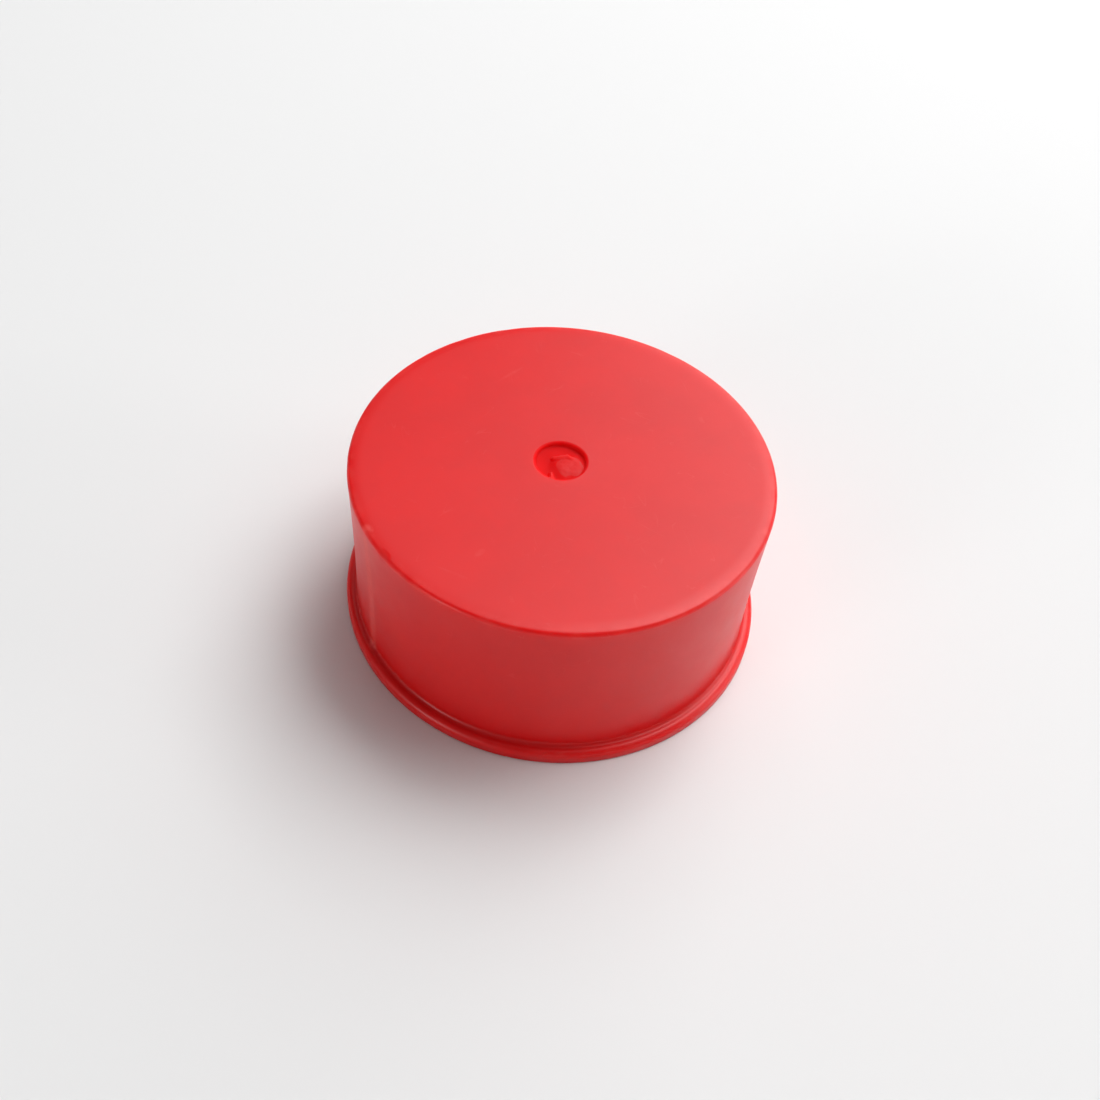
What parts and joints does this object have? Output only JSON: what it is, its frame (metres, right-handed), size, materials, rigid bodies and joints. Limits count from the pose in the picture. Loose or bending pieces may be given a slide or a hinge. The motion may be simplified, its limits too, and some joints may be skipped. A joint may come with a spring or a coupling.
{
  "type": "end cap",
  "caption": "Round push-on end cap for a tube, moulded in one piece in soft plastic: flat closed end with a small gate recess, straight wall and a flange round the open mouth.",
  "frame": {"origin": "centre of the mouth's rim, which is the face that the cap stands on", "axes": "+Z along the cap's axis, from the open mouth to the closed end; the cap is round, so X and Y are free"},
  "size_m": [0.0538, 0.0538, 0.0238],
  "materials": {
    "cap_polyethylene": "satin moulded polyethylene, pigmented red, lightly scuffed"
  },
  "bodies": {
    "root": {"end_cap": "cap_polyethylene"}
  },
  "joints": []
}
